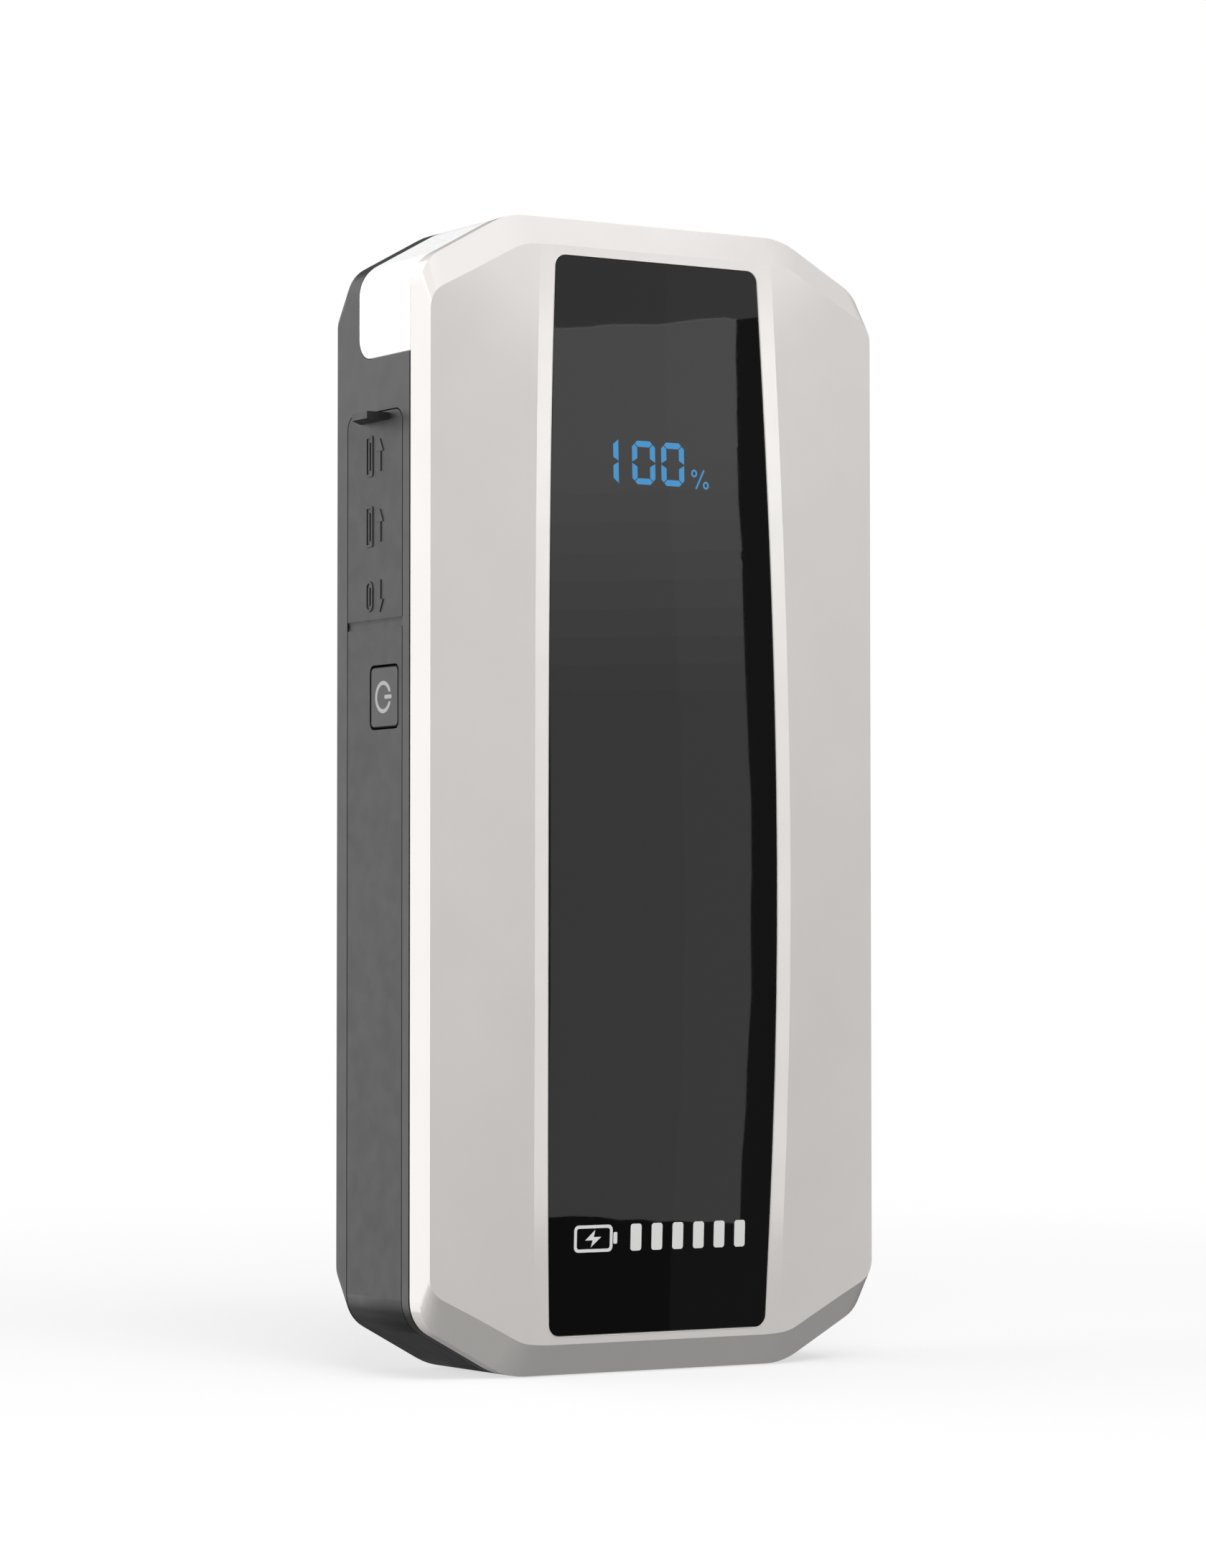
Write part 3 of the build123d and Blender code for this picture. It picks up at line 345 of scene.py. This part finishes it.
finishes = {
    "shell_grey": moulded(
        "grey_plastic", GREY, 0.09, 0.13, height=0.0000006, flow=0.000003, Specular_IOR_Level=1.0
    ),
    "panel_black": glossy("black_gloss", (0.002, 0.002, 0.0022), 0.008, 0.02, Specular_IOR_Level=0.19),
    "digit_blue": glossy(
        "blue_segments", DIGIT_OFF, 0.06, 0.10, Specular_IOR_Level=0.19,
        Emission_Color=DIGIT_GLOW, Emission_Strength=1.0,
    ),
    "tape_black": foam("black_tape"),
    "shell_dark": moulded("gunmetal_plastic", DARK, 0.36, 0.44),
    "band_dark": rubber("dark_rubber", DARK),
    "cover_dark": rubber("cover_rubber", DARK),
    # The diffuser's faint white emission is a painted glow that brightens the lens; no lamp shines
    # through it.
    "lens_white": glossy(
        "white_diffuser_painted_glow", (0.93, 0.93, 0.93), 0.16, 0.24, Subsurface_Weight=0.35, Subsurface_Scale=0.002,
        Emission_Color=(1, 1, 1, 1), Emission_Strength=0.2,
    ),
    "button_dark": moulded("button_plastic", DARK, 0.34, 0.42),
    "symbol_grey": moulded("symbol_inlay", (0.33, 0.325, 0.34), 0.30, 0.40),
    "bezel_black": moulded("bezel_plastic", (0.012, 0.012, 0.012), 0.45, 0.55),
    "port_steel": metal("port_plating", (0.62, 0.62, 0.63), 0.22, 0.36),
    "tongue_white": moulded("white_insulator", (0.72, 0.72, 0.69), 0.40, 0.50),
    "tongue_black": moulded("black_insulator", (0.015, 0.015, 0.015), 0.40, 0.50),
    "pcb_green": circuit("circuit_board"),
    "chip_black": moulded("chip_epoxy", (0.02, 0.02, 0.021), 0.50, 0.62),
    "inductor_grey": moulded("iron_powder", (0.07, 0.07, 0.072), 0.60, 0.75, 0.0002, 0.00003),
    "can_aluminium": metal("drawn_can", (0.75, 0.75, 0.76), 0.20, 0.32),
    "module_black": moulded("module_plastic", (0.015, 0.015, 0.015), 0.40, 0.50),
    "switch_black": moulded("switch_plastic", (0.025, 0.025, 0.025), 0.40, 0.50),
    "flex_white": moulded("flex_circuit", (0.80, 0.80, 0.76), 0.35, 0.45),
    "led_yellow": glossy("phosphor", (0.80, 0.62, 0.10), 0.15, 0.25),
    "carrier_white": moulded("reflector_plastic", (0.85, 0.85, 0.84), 0.35, 0.45),
    "cell_foil": pouch("cell_pouch"),
    "foam_grey": foam("grey_foam"),
    "frame_black": moulded("frame_plastic", (0.02, 0.02, 0.02), 0.45, 0.55),
    "tab_nickel": metal("nickel_strip", (0.66, 0.62, 0.55), 0.28, 0.40),
    "lead_red": rubber("silicone_lead", (0.42, 0.012, 0.012)),
    "screw_steel": metal("black_zinc", (0.22, 0.22, 0.23), 0.30, 0.42, stretch=(1, 1, 1)),
}

for entry in frame["record"]["subparts"]:
    mesh = nodes[entry["node"]].data
    mesh.materials.clear()
    mesh.materials.append(finishes[entry["material_slot"]])

# ---------------------------------------------------------------- shapes for the extra pieces
SINK = 0.05  # how far a raised shape reaches into the surface under it, mm


def join_rows(form, rows):
    """Faces between each closed row of points and the next."""
    for here, there in zip(rows, rows[1:]):
        for i in range(len(here)):
            j = (i + 1) % len(here)
            form.faces.new((here[i], here[j], there[j], there[i]))


def tile(form, outline, place, lift):
    """Raised flat shape over a surface. The outline and the lift are in mm."""
    top = [form.verts.new(place(u, v, lift)) for u, v in outline]
    foot = [form.verts.new(place(u, v, -SINK)) for u, v in outline]
    form.faces.new(top)
    form.faces.new(list(reversed(foot)))
    join_rows(form, [top, foot])


def ring(form, outer, inner, place, lift):
    """Raised shape between two closed outlines with as many points each."""
    rows = []
    for outline, height in ((outer, -SINK), (outer, lift), (inner, lift), (inner, -SINK)):
        rows.append([form.verts.new(place(u, v, height)) for u, v in outline])
    join_rows(form, rows + rows[:1])


def rounded(u, v, half_u, half_v, radius, steps=6):
    """Rectangle about u, v with round corners."""
    points = []
    corners = ((1, 1, 0), (-1, 1, 90), (-1, -1, 180), (1, -1, 270))
    for side_u, side_v, start in corners:
        for i in range(steps + 1):
            t = math.radians(start + 90 * i / steps)
            across = u + side_u * (half_u - radius) + radius * math.cos(t)
            along = v + side_v * (half_v - radius) + radius * math.sin(t)
            points.append((across, along))
    return points


def surface_of(node):
    """Function giving the y of a node's display side at x and z, in metres."""
    mesh = nodes[node].data
    faces = [tuple(face.vertices) for face in mesh.polygons]
    tree = BVHTree.FromPolygons([v.co for v in mesh.vertices], faces)

    def depth(x, z):
        hit = tree.ray_cast(Vector((x, -0.05, z)), Vector((0, 1, 0)))[0]
        return hit.y

    return depth


def make_piece(name, form, body, slot):
    """Turns the form into a named piece that rides on a body and takes a slot's finish."""
    bmesh.ops.recalc_face_normals(form, faces=form.faces)
    mesh = bpy.data.meshes.new(name)
    form.to_mesh(mesh)
    form.free()
    mesh.materials.append(finishes[slot])
    piece = bpy.data.objects.new(name, mesh)
    bpy.context.scene.collection.objects.link(piece)
    if body:
        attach(piece, body)
    return piece


def soften(piece, width):
    """Rounds the edges a little, as in moulding."""
    bevel = piece.modifiers.new("soft_edges", "BEVEL")
    bevel.width = width
    bevel.segments = 2
    bevel.limit_method = "ANGLE"
    bevel.angle_limit = math.radians(35)
    bevel.harden_normals = True


# ---------------------------------------------------------------- marks on the panel
panel_depth = surface_of("front_panel")


def on_panel(x, z, lift):
    """Point over the glossy panel. x, z and lift are in mm."""
    return Vector((x / 1000, panel_depth(x / 1000, z / 1000) - lift / 1000, z / 1000))


PRINT_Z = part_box("front_panel")[0].z * 1000 + 14.8
PRINT_HALF = 2.1
PRINT_LIFT = 0.015
LINE = 0.5
BATTERY_X = -12.3
BATTERY_HALF = 3.5
BOLT = (
    (0.325, 1.35), (-1.495, -0.25), (-0.13, -0.25),
    (-0.455, -1.35), (1.43, 0.25), (0.065, 0.25),
)
BAR_X, BAR_PITCH, BAR_HALF, BARS = -4.5, 3.86, 1.0, 6


def make_print():
    """Plain charge marks: a battery outline with a bolt in it, and six level bars."""
    form = bmesh.new()
    outer = rounded(BATTERY_X, PRINT_Z, BATTERY_HALF, PRINT_HALF, 0.8)
    inner = rounded(BATTERY_X, PRINT_Z, BATTERY_HALF - LINE, PRINT_HALF - LINE, 0.4)
    ring(form, outer, inner, on_panel, PRINT_LIFT)
    nub = rounded(BATTERY_X + BATTERY_HALF + LINE, PRINT_Z, 0.35, 0.9, 0.2)
    tile(form, nub, on_panel, PRINT_LIFT)
    tile(form, [(BATTERY_X + x, PRINT_Z + z) for x, z in BOLT], on_panel, PRINT_LIFT)
    for i in range(BARS):
        bar = rounded(BAR_X + BAR_PITCH * i, PRINT_Z, BAR_HALF, PRINT_HALF, 0.45)
        tile(form, bar, on_panel, PRINT_LIFT)
    make_piece("panel_print", form, "case", "carrier_white")


# ---------------------------------------------------------------- lip of the panel's recess
PANEL_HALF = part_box("front_panel")[1].x * 1000
PANEL_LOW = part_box("front_panel")[0].z * 1000
PANEL_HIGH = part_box("front_panel")[1].z * 1000
PANEL_TAPER, CROWN_Z, CROWN_LENGTH = 2.1, 75.0, 90.0
PANEL_CORNER = 1.8
LIP_OUT = 0.20
LIP_RADIUS = 0.09
LIP_SINK = 0.03
LIP_POINTS = 10


def panel_half(z):
    """Half width of the panel at a height, in mm."""
    return PANEL_HALF - PANEL_TAPER * ((z - CROWN_Z) / CROWN_LENGTH) ** 2


def lip_path():
    """Points round the recess from its lower right, with the outward direction at each, in mm."""
    radius = PANEL_CORNER + LIP_OUT
    low, high = PANEL_LOW - LIP_OUT + radius, PANEL_HIGH + LIP_OUT - radius
    heights = [low + (high - low) * i / 60 for i in range(61)]
    right = [(panel_half(z) + LIP_OUT, z, 1.0, 0.0) for z in heights]
    left = [(-x, z, -1.0, 0.0) for x, z, _, _ in reversed(right)]
    sides = (
        (right, ((1, high, 0), (-1, high, 90))),
        (left, ((-1, low, 180), (1, low, 270))),
    )
    path = []
    for edge, corners in sides:
        path += edge
        for side, z, start in corners:
            x = side * (panel_half(z) + LIP_OUT - radius)
            first = 1 if start % 180 == 0 else 0
            for i in range(first, first + 9):
                turn = math.radians(start + 10 * i)
                out_x, out_z = math.cos(turn), math.sin(turn)
                path.append((x + radius * out_x, z + radius * out_z, out_x, out_z))
    return path


def make_lip():
    """Fine rounded lip where the shell's face turns into the recess."""
    shell_depth = surface_of("front_shell")
    form = bmesh.new()
    rows = []
    for x, z, out_x, out_z in lip_path():
        probe_x, probe_z = (x + 0.12 * out_x) / 1000, (z + 0.12 * out_z) / 1000
        y = shell_depth(probe_x, probe_z) * 1000 + LIP_SINK
        row = []
        for i in range(LIP_POINTS):
            t = 2 * math.pi * i / LIP_POINTS
            out, rise = LIP_RADIUS * math.cos(t), LIP_RADIUS * math.sin(t)
            row.append(form.verts.new(Vector((x + out * out_x, y - rise, z + out * out_z)) / 1000))
        rows.append(row)
    join_rows(form, rows + rows[:1])
    for face in form.faces:
        face.smooth = True
    make_piece("recess_lip", form, "case", "shell_grey")


# ---------------------------------------------------------------- port cover
WALL_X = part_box("side_band")[0].x * 1000
COVER_Y = round(sum(corner.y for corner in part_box("port_cover")) * 500, 1)  # middle of the cover
ARROW_Y = COVER_Y - 1.8
SOCKET_Y = COVER_Y + 1.6
EMBOSS = 0.16
MARKS = (
    # socket behind the mark, drop below its middle, half length, whether current comes out, corner radius
    ("usb_a_shell_1", 0.5, 3.2, True, 0.3),
    ("usb_a_shell_2", 0.5, 3.2, True, 0.3),
    ("usb_c_shell", 0.4, 2.4, False, 1.0),
)


def on_cover(y, z, lift):
    """Point over the port cover's outer face. y, z and lift are in mm."""
    return Vector((WALL_X - lift, y, z)) / 1000


def make_pictograms():
    """Raised marks on the cover: an arrow out or in, and the outline of the socket behind it."""
    form = bmesh.new()
    for socket, drop, half, outward, radius in MARKS:
        z = sum(corner.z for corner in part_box(socket)) * 500 - drop
        turn = 1 if outward else -1
        head = [(1.05, 0.6), (-1.05, 0.6), (0.0, 2.6)]
        tile(form, [(ARROW_Y + y, z + turn * up) for y, up in head], on_cover, EMBOSS)
        tile(form, rounded(ARROW_Y, z - turn * 0.9, 0.28, 1.6, 0.1), on_cover, EMBOSS)
        outer = rounded(SOCKET_Y, z, 1.1, half, radius + 0.1)
        inner = rounded(SOCKET_Y, z, 0.72, half - 0.38, max(radius - 0.3, 0.1))
        ring(form, outer, inner, on_cover, EMBOSS)
        tile(form, rounded(SOCKET_Y, z, 0.2, half - 1.0, 0.1), on_cover, EMBOSS)
    piece = make_piece("cover_pictograms", form, "cover_flap", "cover_dark")
    soften(piece, 0.00004)


WEB_OVERLAP = 0.0004
WEB_STEPS = 16
WEB_WAIST = 0.28


def make_web():
    """Thin rubber web between the band and the cover."""
    low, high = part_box("port_hinge")
    low.y -= WEB_OVERLAP
    high.y += WEB_OVERLAP
    form = bmesh.new()
    rows = []
    for i in range(WEB_STEPS + 1):
        t = i / WEB_STEPS
        waist = math.sin(math.pi * t) * (high.x - low.x) * WEB_WAIST
        z = low.z + (high.z - low.z) * t
        outer, inner = low.x + waist, high.x - waist
        corners = ((outer, low.y), (outer, high.y), (inner, high.y), (inner, low.y))
        rows.append([form.verts.new((x, y, z)) for x, y in corners])
    join_rows(form, rows)
    form.faces.new(rows[0])
    form.faces.new(rows[-1])
    piece = make_piece("hinge_web", form, None, "cover_dark")
    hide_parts("port_hinge")
    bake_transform(piece)


# ---------------------------------------------------------------- sockets
def strip(form, x0, x1, y0, y1, z, bow, sheet=0.12, steps=8):
    """Sheet spring along x, bowed in z, in mm."""
    rows = []
    for i in range(steps + 1):
        t = i / steps
        x = x0 + (x1 - x0) * t
        level = z + bow * math.sin(math.pi * t)
        row = [(x, y0, level), (x, y1, level), (x, y1, level + sheet), (x, y0, level + sheet)]
        rows.append([form.verts.new(Vector(p) / 1000) for p in row])
    join_rows(form, rows)
    form.faces.new(rows[0])
    form.faces.new(rows[-1])


PIN_HALF = 0.5
PINS = ((-3.5, 0.4), (-1.0, 1.3), (1.0, 1.3), (3.5, 0.4))  # offset from the middle, setback
PIN_END = 8.5
PAD_COUNT, PAD_PITCH, PAD_HALF = 12, 0.5, 0.14
SHEET = 0.3
LATCH_OFFSETS = (-3.0, 3.0)


def front_middle(node):
    """Front edge and middle depth of a node, in mm."""
    low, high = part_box(node)
    return low.x * 1000, (low.y + high.y) * 500


def make_contacts():
    """Contact strips on the tongues of the three sockets."""
    form = bmesh.new()
    for tongue in ("usb_a_tongue_1", "usb_a_tongue_2"):
        front, middle = front_middle(tongue)
        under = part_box(tongue)[0].z * 1000 - 0.12
        for offset, reach in PINS:
            y0, y1 = middle + offset - PIN_HALF, middle + offset + PIN_HALF
            strip(form, front + reach, front + PIN_END, y0, y1, under, -0.25)
    front, middle = front_middle("usb_c_tongue")
    low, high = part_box("usb_c_tongue")
    for i in range(PAD_COUNT):
        y = middle + (i - (PAD_COUNT - 1) / 2) * PAD_PITCH
        for z in (low.z * 1000 - 0.03, high.z * 1000 - 0.02):
            strip(form, front + 0.4, front + 3.4, y - PAD_HALF, y + PAD_HALF, z, 0.0, sheet=0.05)
    make_piece("socket_contacts", form, "case", "tab_nickel")


def make_latches():
    """Spring tongues inside the walls of the two wide sockets."""
    form = bmesh.new()
    for number in (1, 2):
        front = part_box(f"usb_a_shell_{number}")[0].x * 1000
        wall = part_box(f"usb_a_shell_{number}")[0].z * 1000 + SHEET
        middle = front_middle(f"usb_a_tongue_{number}")[1]
        for offset in LATCH_OFFSETS:
            y = middle + offset
            strip(form, front + 1.6, front + 7.0, y - 1.0, y + 1.0, wall, 0.45, 0.2)
    make_piece("socket_latches", form, "case", "port_steel")


make_print()
make_lip()
make_pictograms()
make_web()
make_contacts()
make_latches()

SOFT_NODES = ("port_cover", "power_button", "side_band", "port_bezel")
for name in SOFT_NODES:
    weld = nodes[name].modifiers.new("weld", "WELD")
    weld.merge_threshold = 0.000002
    soften(nodes[name], 0.00012)
